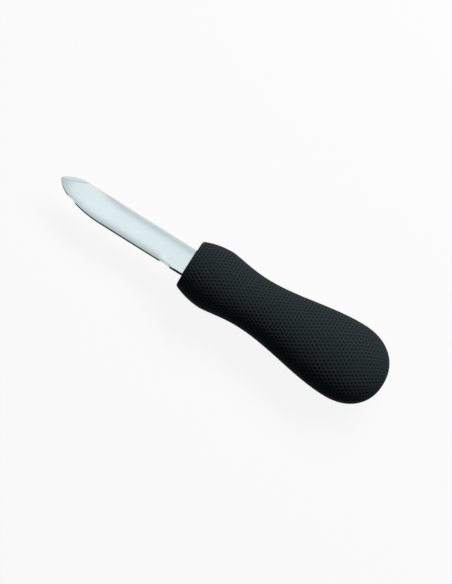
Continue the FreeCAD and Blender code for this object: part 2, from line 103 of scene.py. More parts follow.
class BladeSizes(bpy.types.PropertyGroup):
    """Sizes and colours of the blade, its heel and its tang."""

    # The length stays a hair under the solid's, so that the dressed blade lies inside its box
    blade_length: length("Blade length", "Tip to the handle's front face", 76.19)
    blade_width: length("Blade width", "Spine to the unground edge beside the handle", 14.9)
    thickness: length("Thickness", "Between the two ground faces", 2.6)
    nose_radius: length("Nose radius", "Rounding of the point, seen on the flat", 1.2)
    point_rise: length("Point rise", "Height of the point above the middle line", 2.5)
    spine_radius: length("Spine radius", "Arc from the spine to the point", 18.0)
    edge_tip_radius: length("Edge tip radius", "Arc from the point into the belly", 14.0)
    belly_radius: length("Belly radius", "Long arc of the edge behind the point", 60.0)
    belly_length: length("Belly length", "Tip to where the edge runs straight", 28.0)
    edge_set_back: length("Edge set back", "How far grinding sets the edge behind the ricasso", 0.2)
    ricasso_length: length("Ricasso length", "Unground stretch of the edge before the handle", 10.6)
    taper_length: length("Taper length", "Stretch over which the faces thin to the tip", 36.0)
    tip_thickness: length("Tip thickness", "Thickness that the taper leaves at the very tip", 1.1)
    tip_fall: length("Tip fall", "Further fall of each face at the very tip", 0.25)
    tip_fall_length: length("Tip fall length", "Stretch over which the tip falls away", 8.0)
    roll_depth: length("Roll depth", "Fall of each face from its middle to its rims", 0.4)
    roll_power: number("Roll power", "More keeps the faces flat for longer before they roll over", 3.2)
    spine_fade: length("Spine fade", "Stretch behind the tip's flat over which the roll begins", 21.12)
    edge_fade: length("Edge fade", "Stretch before the ricasso over which the edge's roll ends", 5.0)
    facet_length: length("Facet length", "Flat on the spine's side of the tip", 13.2)
    facet_slope: number("Facet slope", "Fall of the tip's flat towards the spine", 0.15)
    facet_curve: number("Facet curve", "1 gives the flat a straight lower side, more a hollow one", 1.5)
    ridge_softness: length("Ridge softness", "Rounding of the ridges between the ground faces", 0.012)
    scallop_radius: length("Scallop radius", "Round of the two grinding scallops", 6.5)
    scallop_depth: length("Scallop depth", "Depth of the two grinding scallops", 0.3)
    scallop_flare: length("Scallop flare", "Further reach of a scallop at the faces", 1.1)
    tip_scallop_at: length("Tip scallop", "Tip to the middle of the front scallop", 10.0)
    # The bevels along the edge and the ricasso are painted near-black, as a painted dark reflection
    edge_bevel: length("Edge bevel", "Narrow dull bevel along the edge", 0.22)
    ricasso_bevel: length("Ricasso bevel", "That bevel along the ricasso", 0.55)
    bevel_start: length("Bevel start", "Ricasso's front end to where the bevel starts to widen", 1.5)
    bevel_growth: length("Bevel growth", "Stretch over which the bevel widens", 5.5)
    spine_break: length("Spine break", "Rounding of the spine's corners", 0.08)
    heel_show: length("Heel show", "Unground heel left in front of the handle", 0.4)
    stock_thickness: length("Stock thickness", "Unground heel and tang", 2.8)
    heel_depth: length("Heel depth", "Full-width heel inside the handle", 5.0)
    shoulder: length("Shoulder", "Run of the step from the heel to the tang", 0.5)
    tang_width: length("Tang width", "Tang behind the heel", 9.0)
    tang_length: length("Tang length", "Handle's front face to the tang's end", 80.0)
    tang_corner: length("Tang corner", "Sloped corners of the tang's end", 2.0)
    # Painted reflection: the spine, the edge's bevels, the heel and the unground sides take the dark side
    # colour below, which stands in for a dark reflection; they are the same steel as the faces
    spine_dark_paint: share("Spine dullness", "How far the spine takes the colour of the unground sides", 0.7)
    steel: colour("Steel", "Colour of the ground steel", (0.785, 0.815, 0.83))
    side: colour("Side", "Colour of the dull unground sides", (0.026, 0.031, 0.034))


class GripSizes(bpy.types.PropertyGroup):
    """Sizes and colours of the soft grip, its dimples and the core."""

    handle_length: length("Handle length", "Front face to the end of the butt", 113.0)
    lie_thickness: length("Lie thickness", "Thickness of the flare and the palm swell", 29.0)
    front_width: length("Front width", "Front face across", 25.9)
    front_thickness: length("Front thickness", "Front face through", 21.5)
    front_round: length("Front round", "Rounding of the front rim", 1.0)
    flare_at: length("Flare at", "Front face to the crest of the finger flare", 15.8)
    flare_width: length("Flare width", "Crest of the finger flare", 32.7)
    fall_power: number("Fall power", "Less makes the flare fall to the waist sooner", 0.75)
    waist_at: length("Waist at", "Front face to the narrowest section", 36.8)
    waist_width: length("Waist width", "Narrowest section, across", 28.4)
    waist_thickness: length("Waist thickness", "Narrowest section, through", 23.6)
    palm_at: length("Palm at", "Front face to the widest section", 89.9)
    # The width stays a hair under the solid's, so that the dressed grip lies inside its box
    palm_width: length("Palm width", "Widest section, across", 41.49)
    butt_fullness: number("Butt fullness", "2 for an oval butt, more for a blunter one", 2.2)
    dimple_pitch: length("Dimple pitch", "Middle to middle of neighbouring dimples at the waist", 2.0)
    pitch_growth: number("Pitch growth", "0 for an even pitch, 1 for one that grows with the width", 0.3)
    dimple_radius: length("Dimple radius", "Round rim of a dimple", 0.78)
    dimple_depth: length("Dimple depth", "Net to the floor of a dimple", 0.3)
    seam_strip: length("Seam strip", "Smooth strip on each side of the seam", 0.2)
    fade_length: length("Fade length", "Stretch over which dimples fade at the seam", 5.0)
    front_fade: length("Front fade", "Stretch over which dimples fade at the front rim", 1.5)
    butt_fade: length("Butt fade", "Stretch over which dimples fade at the end of the butt", 6.0)
    rubber: colour("Rubber", "Colour of the net between the dimples", (0.036, 0.049, 0.052))
    # Painted shade: the rubber is one colour, and the dimples are darkened towards this colour as shade in
    # the recesses
    hollow: colour("Hollow", "Colour inside the dimples", (0.013, 0.017, 0.019))
    core: colour("Core", "Colour of the hidden core", (0.05, 0.05, 0.055))


class StageSettings(bpy.types.PropertyGroup):
    """Camera, light and floor."""

    tilt: angle("Tilt", "Camera's height over the horizon", 73)
    roll: angle("Roll", "Slope of the knife in the picture", 32.05)
    lens: number("Lens", "Focal length in millimetres", 120, unit="CAMERA")
    picture_height: length("Picture height", "Height of the view at the knife", 289.0)
    shift_right: length("Shift right", "Middle of the picture right of the knife's middle", 2.45)
    shift_down: length("Shift down", "Middle of the picture below the knife's middle", 4.42)
    key_power: number("Key power", "Power of the softbox", 7.2, subtype="POWER")
    key_lean: angle("Key lean", "Softbox's angle from overhead towards the spine's side", 44)
    key_turn: angle("Key turn", "Softbox's angle from straight across the knife towards the butt", 12)
    key_distance: length("Key distance", "Knife to the softbox", 900.0)
    key_length: length("Key length", "Softbox along the knife", 900.0)
    key_width: length("Key width", "Softbox across the knife", 350.0)
    fill: number("Fill", "Strength of the even light from all round", 0.06)
    surround: colour("Surround", "Colour of the surround that gloss shows", (0.47, 0.56, 0.575))
    glow: number("Glow", "Brightness of the soft glow overhead that the blade's flat shows", 0.58)
    low_glow: number("Low glow", "Brightness of the soft glow round the horizon", 0.30)
    rim_glow: number("Rim glow", "Brightness of the soft glow lower on the spine's side", 0.50)
    floor: colour("Floor", "Colour of the floor as it is seen", (0.95, 0.95, 0.95))
    bounce: colour("Bounce", "Colour of the floor as it throws light back", (0.12, 0.12, 0.12))
    floor_white: share("Floor white", "Share of plain white in the floor that is seen", 0.9)


# Mesh helpers

def deselect():
    """Clear the selection before a new piece is started."""
    if bpy.context.object and bpy.context.object.mode != "OBJECT":
        bpy.ops.object.mode_set(mode="OBJECT")
    bpy.ops.object.select_all(action="DESELECT")


def named(name):
    """Name the active object and its mesh."""
    piece = bpy.context.object
    piece.name = name
    piece.data.name = name
    return piece


def apply_modifiers(piece):
    """Apply a piece's modifiers in order."""
    for modifier in list(piece.modifiers):
        bpy.ops.object.modifier_apply(modifier=modifier.name)


def mirror_down(piece, merge):
    """Add the lower half of a piece as the mirror image of its upper half."""
    mirror = piece.modifiers.new("lower half", "MIRROR")
    mirror.use_axis = (False, False, True)
    mirror.merge_threshold = merge
    apply_modifiers(piece)


def mesh_points(piece):
    """All points of a piece's mesh as an array."""
    points = np.empty(len(piece.data.vertices) * 3)
    piece.data.vertices.foreach_get("co", points)
    return points.reshape(-1, 3)


def set_points(piece, points):
    """Write points back into a piece's mesh."""
    piece.data.vertices.foreach_set("co", np.ascontiguousarray(points).ravel())
    piece.data.update()


def mark_points(piece, name, values):
    """Keep a value for each point of a piece's mesh, for its material to read."""
    piece.data.attributes.new(name, "FLOAT", "POINT").data.foreach_set("value", values)


def smoothstep(value):
    """Rise from 0 to 1, level at both ends."""
    part = np.clip(value, 0, 1)
    return part * part * (3 - 2 * part)


def edit(piece):
    """Open a piece in edit mode with everything selected."""
    deselect()
    piece.select_set(True)
    bpy.context.view_layer.objects.active = piece
    bpy.ops.object.mode_set(mode="EDIT")
    bpy.ops.mesh.select_all(action="SELECT")


def close_edit():
    """Leave edit mode."""
    bpy.ops.object.mode_set(mode="OBJECT")


def finish_piece(piece, crease, material, node):
    """Turn a piece's faces outwards, put it in its place and dress it instead of a CAD node."""
    edit(piece)
    bpy.ops.mesh.normals_make_consistent(inside=False)
    bpy.ops.transform.translate(value=FRONT_FACE)
    close_edit()
    bpy.ops.object.shade_smooth_by_angle(angle=math.radians(crease))
    piece.data.materials.clear()
    piece.data.materials.append(material)
    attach(piece, "root")
    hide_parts(node)


# Material helpers

def new_material(name):
    """Start a material and give back its nodes, its links and its shader."""
    material = bpy.data.materials.new(name)
    material.use_nodes = True
    nodes = material.node_tree.nodes
    return material, nodes, material.node_tree.links, nodes["Principled BSDF"]


def feed(links, source, socket):
    """Link another node's output to a socket, or set the socket to a plain value."""
    if isinstance(source, bpy.types.NodeSocket):
        links.new(source, socket)
    else:
        socket.default_value = source


def mix_colours(nodes, links, factor, first, second):
    """Mix two colours, each a value or another node's output."""
    mix = nodes.new("ShaderNodeMix")
    mix.data_type = "RGBA"
    links.new(factor, mix.inputs["Factor"])
    feed(links, first, mix.inputs["A"])
    feed(links, second, mix.inputs["B"])
    return mix.outputs["Result"]


def mix_shaders(nodes, links, factor, first, second):
    """Mix two shaders."""
    mix = nodes.new("ShaderNodeMixShader")
    for source, socket in zip((factor, first, second), mix.inputs):
        links.new(source, socket)
    return mix.outputs[0]


def math_steps(nodes, links, value, steps):
    """Run a value through a row of math steps, each with its second input."""
    for operation, other in steps:
        step = nodes.new("ShaderNodeMath")
        step.operation = operation
        links.new(value, step.inputs[0])
        feed(links, other, step.inputs[1])
        value = step.outputs[0]
    return value


def own_mark(nodes, name):
    """Value that a piece keeps for each of its points."""
    mark = nodes.new("ShaderNodeAttribute")
    mark.attribute_name = name
    return mark.outputs["Fac"]


def add_bump(nodes, links, shader, height, strength, distance):
    """Give a shader a fine relief."""
    bump = nodes.new("ShaderNodeBump")
    bump.inputs["Strength"].default_value = strength
    bump.inputs["Distance"].default_value = distance
    links.new(height, bump.inputs["Height"])
    links.new(bump.outputs["Normal"], shader.inputs["Normal"])


def build_uneven_finish():
    """Node group for a finish that isn't even: a cloudy height, and a roughness that follows it."""
    group = bpy.data.node_groups.new("uneven_finish", "ShaderNodeTree")
    group.interface.new_socket("Vector", in_out="INPUT", socket_type="NodeSocketVector")
    for name in ("Scale", "Detail", "Smoothest", "Roughest"):
        group.interface.new_socket(name, in_out="INPUT", socket_type="NodeSocketFloat")
    for name in ("Height", "Roughness"):
        group.interface.new_socket(name, in_out="OUTPUT", socket_type="NodeSocketFloat")
    nodes, links = group.nodes, group.links
    given = nodes.new("NodeGroupInput")
    result = nodes.new("NodeGroupOutput")
    cloud = nodes.new("ShaderNodeTexNoise")
    for name in ("Vector", "Scale", "Detail"):
        links.new(given.outputs[name], cloud.inputs[name])
    rough = nodes.new("ShaderNodeMapRange")
    links.new(cloud.outputs["Fac"], rough.inputs["Value"])
    links.new(given.outputs["Smoothest"], rough.inputs["To Min"])
    links.new(given.outputs["Roughest"], rough.inputs["To Max"])
    links.new(cloud.outputs["Fac"], result.inputs["Height"])
    links.new(rough.outputs["Result"], result.inputs["Roughness"])
    return group


def add_uneven_finish(nodes, links, shader, **values):
    """Give a shader the uneven finish on the piece's own coordinates, and give back its height."""
    finish = nodes.new("ShaderNodeGroup")
    finish.node_tree = bpy.data.node_groups.get("uneven_finish") or build_uneven_finish()
    for name, value in values.items():
        finish.inputs[name].default_value = value
    coordinates = nodes.new("ShaderNodeTexCoord")
    links.new(coordinates.outputs["Object"], finish.inputs["Vector"])
    links.new(finish.outputs["Roughness"], shader.inputs["Roughness"])
    return finish.outputs["Height"]


# Blade

# Columns of points along the blade: fine at the tip and at the ricasso's scallop, broad between them
FINE_STEP = 0.25 * MM
BROAD_STEP = 0.7 * MM
SCALLOP_REACH = 6 * MM
# Columns round the nose
NOSE_COLUMNS = 12
NOSE_TURN = math.radians(80)
# Last columns before the handle, and those at the foot and on both sides of the step up to the heel
HEEL_COLUMNS = 4
HEEL_STEP = 1 * MM
STEP_FOOT = 0.05 * MM
STEP_HALF = 0.01 * MM
# Rows of points across a face, and the distance between the rows beside its rims
FACE_ROWS = 43
RIM_STEP = 0.1 * MM
# Largest share of the blade's width that the edge's bevel takes
BEVEL_LIMIT = 0.2
# Painted dark reflection: a side starts to be painted dark where the face stands this high over the middle
# plane.
# It is fully painted dark after a further rise, which is longer beside a scallop.
DARK_PAINT_FROM = 0.1 * MM
DARK_PAINT_RISE = 0.15 * MM
SCALLOP_DARK_PAINT_RISE = 0.7 * MM
# Points of the blade closer than this are one
BLADE_MERGE = 0.002 * MM
# Brightness of the grinding lines against the steel between them
LINE_SHADE = 0.94


def circle_height(x, middle, radius, side):
    """Height of an arc over x, on its upper or lower side."""
    inside = np.clip(radius ** 2 - (x - middle[0]) ** 2, 0, None)
    return middle[1] + side * np.sqrt(inside)


def blade_arcs(sizes):
    """Centres of the four arcs of the blade's outline: nose, spine, edge tip and belly."""
    half = sizes.blade_width / 2
    nose = np.array((sizes.nose_radius - sizes.blade_length, sizes.point_rise))
    drop = half - sizes.spine_radius - nose[1]
    run = math.sqrt((sizes.spine_radius - sizes.nose_radius) ** 2 - drop ** 2)
    spine = nose + (run, drop)
    edge = sizes.edge_set_back - half
    belly = np.array((sizes.belly_length - sizes.blade_length, edge + sizes.belly_radius))
    line = belly - nose
    gap = np.linalg.norm(line)
    near = sizes.edge_tip_radius - sizes.nose_radius
    far = sizes.belly_radius - sizes.edge_tip_radius
    along = (near ** 2 - far ** 2 + gap ** 2) / (2 * gap)
    aside = math.sqrt(near ** 2 - along ** 2)
    line /= gap
    tip = nose + line * along + np.array((line[1], -line[0])) * aside
    return nose, spine, tip, belly


def touch(start, end, radius):
    """Point where an arc about start, of that radius, meets the arc about end inside it."""
    way = end - start
    return start + way / np.linalg.norm(way) * radius


def spine_line(sizes, x):
    """Height of the spine's outline over x."""
    nose, spine, _tip, _belly = blade_arcs(sizes)
    join = touch(spine, nose, sizes.spine_radius)
    height = np.where(x < join[0], circle_height(x, nose, sizes.nose_radius, 1),
                      circle_height(x, spine, sizes.spine_radius, 1))
    return np.where(x > spine[0], sizes.blade_width / 2, height)


def edge_line(sizes, x):
    """Height of the edge's outline over x, without its scallops."""
    nose, _spine, tip, belly = blade_arcs(sizes)
    half = sizes.blade_width / 2
    first = touch(tip, nose, sizes.edge_tip_radius)
    second = touch(belly, tip, sizes.belly_radius)
    height = np.where(x < first[0], circle_height(x, nose, sizes.nose_radius, -1),
                      circle_height(x, tip, sizes.edge_tip_radius, -1))
    height = np.where(x > second[0], circle_height(x, belly, sizes.belly_radius, -1), height)
    height = np.where(x > belly[0], sizes.edge_set_back - half, height)
    return np.where(x > -sizes.ricasso_length, -half, height)


def scallop_centres(sizes):
    """Middles of the two round hollows in the edge."""
    _nose, _spine, _tip, belly = blade_arcs(sizes)
    back = sizes.belly_length - sizes.tip_scallop_at
    drop = math.sqrt(sizes.belly_radius ** 2 - back ** 2)
    reach = 1 + (sizes.scallop_radius - sizes.scallop_depth) / sizes.belly_radius
    front = np.array((belly[0] - back * reach, belly[1] - drop * reach))
    low = sizes.scallop_depth - sizes.scallop_radius - sizes.blade_width / 2
    return front, np.array((-sizes.ricasso_length, low))


def cut_edge_line(sizes, x):
    """Height of the edge's outline over x with its scallops."""
    height = edge_line(sizes, x)
    for middle in scallop_centres(sizes):
        near = np.abs(x - middle[0]) < sizes.scallop_radius
        notch = circle_height(x, middle, sizes.scallop_radius, 1)
        height = np.where(near, np.maximum(height, notch), height)
    return height


def blade_outline(sizes, x):
    """Lower and upper outline of the blade, the heel and the tang over x."""
    end = x > sizes.tang_length - sizes.tang_corner / 2
    half = sizes.tang_width / 2 - np.where(end, sizes.tang_corner, 0)
    tang = x > sizes.heel_depth + sizes.shoulder / 2
    return np.where(tang, -half, cut_edge_line(sizes, x)), np.where(tang, half, spine_line(sizes, x))


def arc_gap(x, y, middle, radius):
    """How far inside an arc a point lies."""
    return radius - np.hypot(x - middle[0], y - middle[1])


def taper_height(sizes, x):
    """Height of the tapering face over the blade's middle plane, before its rims roll over."""
    thinning = (sizes.thickness - sizes.tip_thickness) / 2
    radius = (sizes.taper_length ** 2 + thinning ** 2) / (2 * thinning)
    from_tip = x + sizes.blade_length
    back = np.clip(sizes.taper_length - from_tip, 0, None)
    fall = sizes.tip_fall * np.clip(1 - from_tip / sizes.tip_fall_length, 0, 1) ** 2
    return sizes.thickness / 2 - radius + np.sqrt(radius ** 2 - back ** 2) - fall


def roll_share(sizes, x, y):
    """How far a face has rolled over towards the spine and the edge, from 0 on the flat to 1 at a rim."""
    _nose, spine, tip, belly = blade_arcs(sizes)
    half = sizes.blade_width / 2
    belly_start = touch(belly, tip, sizes.belly_radius)[0]
    spine_gap = np.where(x > spine[0], half - y, arc_gap(x, y, spine, sizes.spine_radius))
    edge_gap = np.where(x > belly[0], y + half - sizes.edge_set_back,
                        arc_gap(x, y, belly, sizes.belly_radius))
    edge_gap = np.where(x < belly_start, arc_gap(x, y, tip, sizes.edge_tip_radius), edge_gap)
    spine_roll, edge_roll = (
        np.clip(1 - gap / half, 0, 1) ** sizes.roll_power for gap in (spine_gap, edge_gap))
    spine_roll *= smoothstep((x + sizes.blade_length - sizes.facet_length) / sizes.spine_fade)
    edge_roll *= smoothstep((-sizes.ricasso_length - x) / sizes.edge_fade)
    return np.hypot(spine_roll, edge_roll)


def facet_fall(sizes, x, y):
    """Fall of the tip's flat from its lower side, a curve from the point up to the spine."""
    along = np.clip((x + sizes.blade_length) / sizes.facet_length, 0, None)
    rise = sizes.blade_width / 2 - sizes.point_rise
    return sizes.facet_slope * (y - sizes.point_rise - rise * along ** sizes.facet_curve)


def scallop_height(sizes, x, y):
    """Height of the nearer scallop's flared side over the blade's middle plane."""
    front, back = (np.hypot(x - middle[0], y - middle[1]) for middle in scallop_centres(sizes))
    gap = np.clip(np.minimum(front, back) - sizes.scallop_radius, 0, None)
    return gap * sizes.thickness / (2 * sizes.scallop_flare)


def soft_least(heights, softness):
    """Lowest of several heights, with the ridges between them slightly rounded."""
    lowest = np.minimum.reduce(heights)
    total = sum(np.exp(-(height - lowest) / softness) for height in heights)
    return np.clip(lowest - softness * np.log(total), 0, None)


def face_height(sizes, x, y):
    """Height of the blade's upper face over its middle plane."""
    taper = taper_height(sizes, x)
    rolled = taper * (1 - 2 * sizes.roll_depth / sizes.thickness * roll_share(sizes, x, y))
    facet = taper - facet_fall(sizes, x, y)
    height = soft_least((rolled, facet, scallop_height(sizes, x, y)), sizes.ridge_softness)
    return np.where(x > -sizes.heel_show, sizes.stock_thickness / 2, height)


def blade_columns(sizes):
    """Places along the blade and the tang at which a column of points stands."""
    turn = np.linspace(0, NOSE_TURN, NOSE_COLUMNS)
    nose = -sizes.blade_length + sizes.nose_radius * (1 - np.cos(turn))
    tip_end = sizes.taper_length / 2 - sizes.blade_length
    scallop_start = -sizes.ricasso_length - SCALLOP_REACH
    heel = -HEEL_STEP * np.arange(HEEL_COLUMNS, 0, -1)
    tip = np.arange(nose[-1] + FINE_STEP, tip_end, FINE_STEP)
    middle = np.arange(tip_end, scallop_start, BROAD_STEP)
    ricasso = np.arange(scallop_start, heel[0], FINE_STEP)
    step = np.array((-STEP_FOOT, -STEP_HALF, STEP_HALF)) - sizes.heel_show
    inside = np.array((HEEL_STEP, sizes.heel_depth, sizes.heel_depth + sizes.shoulder,
                       sizes.tang_length / 2, sizes.tang_length - sizes.tang_corner, sizes.tang_length))
    return np.concatenate((nose, tip, middle, ricasso, heel, step, inside))


def blade_rows(sizes):
    """Places of the rows of points across the blade, as shares from the edge to the spine."""
    edge = np.array((0, sizes.edge_bevel, sizes.edge_bevel + RIM_STEP))
    middle = np.linspace(5 * RIM_STEP, sizes.blade_width - 4 * RIM_STEP, FACE_ROWS)
    spine = sizes.blade_width - np.array((2 * RIM_STEP, sizes.spine_break, 0))
    return np.concatenate((edge, middle, spine)) / sizes.blade_width


def bevel_breadth(sizes, x):
    """Breadth of the edge's dull bevel, wider along the ricasso."""
    wider = smoothstep((x + sizes.ricasso_length - sizes.bevel_start) / sizes.bevel_growth)
    return sizes.edge_bevel + (sizes.ricasso_bevel - sizes.edge_bevel) * wider


def spread_rows(sizes, rows, width, breadth):
    """Distances of the rows from the edge, with the bevel's breadth kept where the blade narrows."""
    usual = sizes.edge_bevel / sizes.blade_width
    bevel = np.minimum(breadth, BEVEL_LIMIT * width)
    inner = bevel + (width - bevel) * (rows - usual) / (1 - usual)
    return np.where(rows > usual, inner, bevel * rows / usual)


def dark_paint_share(sizes, x, low, z, on_edge, on_spine):
    """How far each point takes the painted dark reflection of the unground sides, which ends at the tip and
    the scallops.
    """
    rim = np.where(on_edge, face_height(sizes, x, low), z)
    dark = np.where(on_edge, 1, np.where(on_spine, sizes.spine_dark_paint, 0))
    dark = dark * smoothstep((rim - DARK_PAINT_FROM) / DARK_PAINT_RISE)
    clear = smoothstep((scallop_height(sizes, x, low) - DARK_PAINT_FROM) / SCALLOP_DARK_PAINT_RISE)
    dark = np.where(on_edge, dark * clear, dark)
    heel = x > -sizes.heel_show - (STEP_FOOT + STEP_HALF) / 2
    return np.where(heel, 1, dark)


class KNIFE_OT_blade(bpy.types.Operator):
    """Model the blade with its tapered and rolled faces, tip flat, scallops, heel and tang."""

    bl_idname = "knife.blade"
    bl_label = "Blade"

    def execute(self, context):
        sizes = context.scene.knife_blade
        columns = blade_columns(sizes)
        rows = blade_rows(sizes)
        last_column = len(columns) - 1
        last_row = len(rows) - 1

        deselect()
        bpy.ops.mesh.primitive_grid_add(x_subdivisions=last_column, y_subdivisions=last_row, size=1)
        blade = named("blade_ground")
        points = mesh_points(blade)
        x = columns[np.rint((points[:, 0] + 0.5) * last_column).astype(int)]
        row = np.rint((points[:, 1] + 0.5) * last_row).astype(int)
        low, high = blade_outline(sizes, x)
        bevel = bevel_breadth(sizes, x)
        y = low + spread_rows(sizes, rows[row], high - low, bevel)
        z = face_height(sizes, x, y)
        corner = np.where(row == 0, bevel, 0) + np.where(row == last_row, sizes.spine_break, 0)
        set_points(blade, np.column_stack((x, y, np.maximum(z - corner, 0))))
        # Keep how far each point is painted dark, as a painted dark reflection on the sides, spine, bevels
        # and heel
        mark_points(blade, "side", dark_paint_share(sizes, x, low, z, row <= 1, row == last_row))

        edit(blade)
        bpy.ops.mesh.region_to_loop()
        bpy.ops.mesh.extrude_region_move()
        bpy.ops.transform.resize(value=(1, 1, 0), center_override=(0, 0, 0))
        bpy.ops.mesh.select_all(action="SELECT")
        bpy.ops.mesh.remove_doubles(threshold=BLADE_MERGE)
        bpy.ops.mesh.dissolve_degenerate(threshold=BLADE_MERGE / 2)
        close_edit()
        mirror_down(blade, BLADE_MERGE)
        finish_piece(blade, crease=28, material=steel_material(sizes), node="blade")
        return {"FINISHED"}


def steel_material(sizes):
    """Satin steel with fine grinding lines across the blade, and sides, spine, edge bevel and heel painted
    dark as a dark reflection.
    """
    material, nodes, links, shader = new_material("satin_steel")
    shader.inputs["Metallic"].default_value = 1.0
    shader.inputs["Specular Tint"].default_value = (0.6, 0.6, 0.6, 1)
    add_uneven_finish(nodes, links, shader, Scale=90, Detail=2, Smoothest=0.12, Roughest=0.16)
    coordinates = nodes.new("ShaderNodeTexCoord")
    stretch = nodes.new("ShaderNodeMapping")
    stretch.inputs["Scale"].default_value = (9000, 160, 160)
    links.new(coordinates.outputs["Object"], stretch.inputs["Vector"])
    lines = nodes.new("ShaderNodeTexNoise")
    lines.inputs["Scale"].default_value = 1.0
    lines.inputs["Detail"].default_value = 3.0
    links.new(stretch.outputs["Vector"], lines.inputs["Vector"])
    line = (*[part * LINE_SHADE for part in sizes.steel], 1)
    ground = mix_colours(nodes, links, lines.outputs["Fac"], line, (*sizes.steel, 1))
    # Painted reflection: the marked sides, spine, bevels and heel get a near-black colour in place of the
    # steel's
    shade = mix_colours(nodes, links, own_mark(nodes, "side"), ground, (*sizes.side, 1))
    links.new(shade, shader.inputs["Base Color"])
    add_bump(nodes, links, shader, lines.outputs["Fac"], strength=0.05, distance=0.02 * MM)
    return material


# Grip

# The wall of a dimple takes this share of its radius, and rim, wall and floor these shares of its depth
WALL_BREADTH = 0.36
RIM_FALL = 0.1
WALL_FALL = 0.6
FLOOR_FALL = 0.3
# Spare sheet past the seam and past the butt's end, in pitches
SEAM_SPARE = 1.2
BUTT_SPARE = 0.4
# The pitch follows the handle's width against the waist's between these limits
GROWTH_LIMITS = (0.5, 2)
# The sheet is wrapped no further than this from the top, well past the seam
WRAP_LIMIT = math.radians(165)
# Rings of the rounded front rim, and the narrow border of the flat front face
FRONT_RINGS = 6
FRONT_BORDER = 1.5 * MM
# Points of the flat sheet, and of the wrapped grip, closer than this are one
SHEET_MERGE = 0.005 * MM
GRIP_MERGE = 0.01 * MM
# Points this near to a cutting plane lie on it, and shorter edges are dissolved
CUT_MERGE = 0.002 * MM
# Smallest half width that counts, at the very end of the butt
LEAST_HALF = 0.001 * MM


def handle_halves(sizes, x):
    """Half width and half thickness of the handle at places behind its front face."""
    front = np.array((sizes.front_width, sizes.front_thickness)) / 2
    flare = np.array((sizes.flare_width, sizes.lie_thickness)) / 2
    waist = np.array((sizes.waist_width, sizes.waist_thickness)) / 2
    palm = np.array((sizes.palm_width, sizes.lie_thickness)) / 2
    x = np.asarray(x, dtype=float)[..., None]

    cheek = flare - (flare - front) * (1 - np.clip(x / sizes.flare_at, 0, 1)) ** 2
    back = np.clip(1 - x / sizes.front_round, 0, 1)
    cheek = cheek - sizes.front_round * (1 - np.sqrt(1 - back ** 2))
    along = np.clip((x - sizes.flare_at) / (sizes.waist_at - sizes.flare_at), 0, 1)
    flank = flare + (waist - flare) * smoothstep(along ** sizes.fall_power)
    along = (x - sizes.waist_at) / (sizes.palm_at - sizes.waist_at)
    swell = waist + (palm - waist) * smoothstep(along)
    along = np.clip((x - sizes.palm_at) / (sizes.handle_length - sizes.palm_at), 0, 1)
    dome = palm * (1 - along ** sizes.butt_fullness) ** (1 / sizes.butt_fullness)
    sections = np.where(x < sizes.flare_at, cheek, flank)
    sections = np.where(x > sizes.waist_at, swell, sections)
    sections = np.where(x > sizes.palm_at, dome, sections)
    return sections[..., 0], sections[..., 1]


class Skin:
    """Flat sheet coordinates of the handle's upper half: along its length and round its section."""

    STATIONS = 1500
    TURNS = 181

    def __init__(self, sizes, start):
        self.sizes = sizes
        turn = np.linspace(0, math.radians(90), self.STATIONS)
        head = np.linspace(start, sizes.palm_at, self.STATIONS)
        butt = sizes.palm_at + (sizes.handle_length - sizes.palm_at) * np.sin(turn[1:])
        self.x = np.concatenate((head, butt))
        wide, thick = handle_halves(sizes, self.x)
        steps = np.hypot(np.diff(self.x), np.diff((wide + thick) / 2))
        self.along = np.concatenate(([0], np.cumsum(steps)))
        self.turn = np.linspace(0, math.pi, self.TURNS)

    def place_at(self, along):
        """Place behind the front face for a length along the sheet."""
        return np.interp(along, self.along, self.x)

    def quarter(self, x):
        """Length round a quarter of the section, from the top to the side."""
        wide, thick = handle_halves(self.sizes, x)
        ratio = ((wide - thick) / np.maximum(wide + thick, LEAST_HALF)) ** 2
        return math.pi / 4 * (wide + thick) * (1 + 3 * ratio / (10 + np.sqrt(4 - 3 * ratio)))

    def turn_at(self, x, around):
        """Angle round the section, from the top, for a length round it."""
        wide, thick = handle_halves(self.sizes, x)
        result = np.empty_like(around)
        cosines = np.cos(self.turn) ** 2
        sines = np.sin(self.turn) ** 2
        for i in range(len(around)):
            pace = np.sqrt(wide[i] ** 2 * cosines + thick[i] ** 2 * sines)
            run = np.concatenate(([0], np.cumsum((pace[1:] + pace[:-1]) / 2 * self.turn[1])))
            result[i] = np.interp(abs(around[i]), run, self.turn)
        return np.copysign(result, around)

    def surface(self, x, turn):
        """Points and outward normals of the surface."""
        step = 0.01 * MM
        wide, thick = handle_halves(self.sizes, x)
        wide_on, thick_on = handle_halves(self.sizes, np.minimum(x + step, self.sizes.handle_length))
        wide_back, thick_back = handle_halves(self.sizes, x - step)
        points = np.column_stack((x, wide * np.sin(turn), thick * np.cos(turn)))
        wide = np.maximum(wide, LEAST_HALF)
        thick = np.maximum(thick, LEAST_HALF)
        growth = np.sin(turn) ** 2 * (wide_on - wide_back) / wide
        growth += np.cos(turn) ** 2 * (thick_on - thick_back) / thick
        normals = np.column_stack((-growth / (2 * step), np.sin(turn) / wide, np.cos(turn) / thick))
        normals /= np.linalg.norm(normals, axis=1)[:, None]
        return points, normals


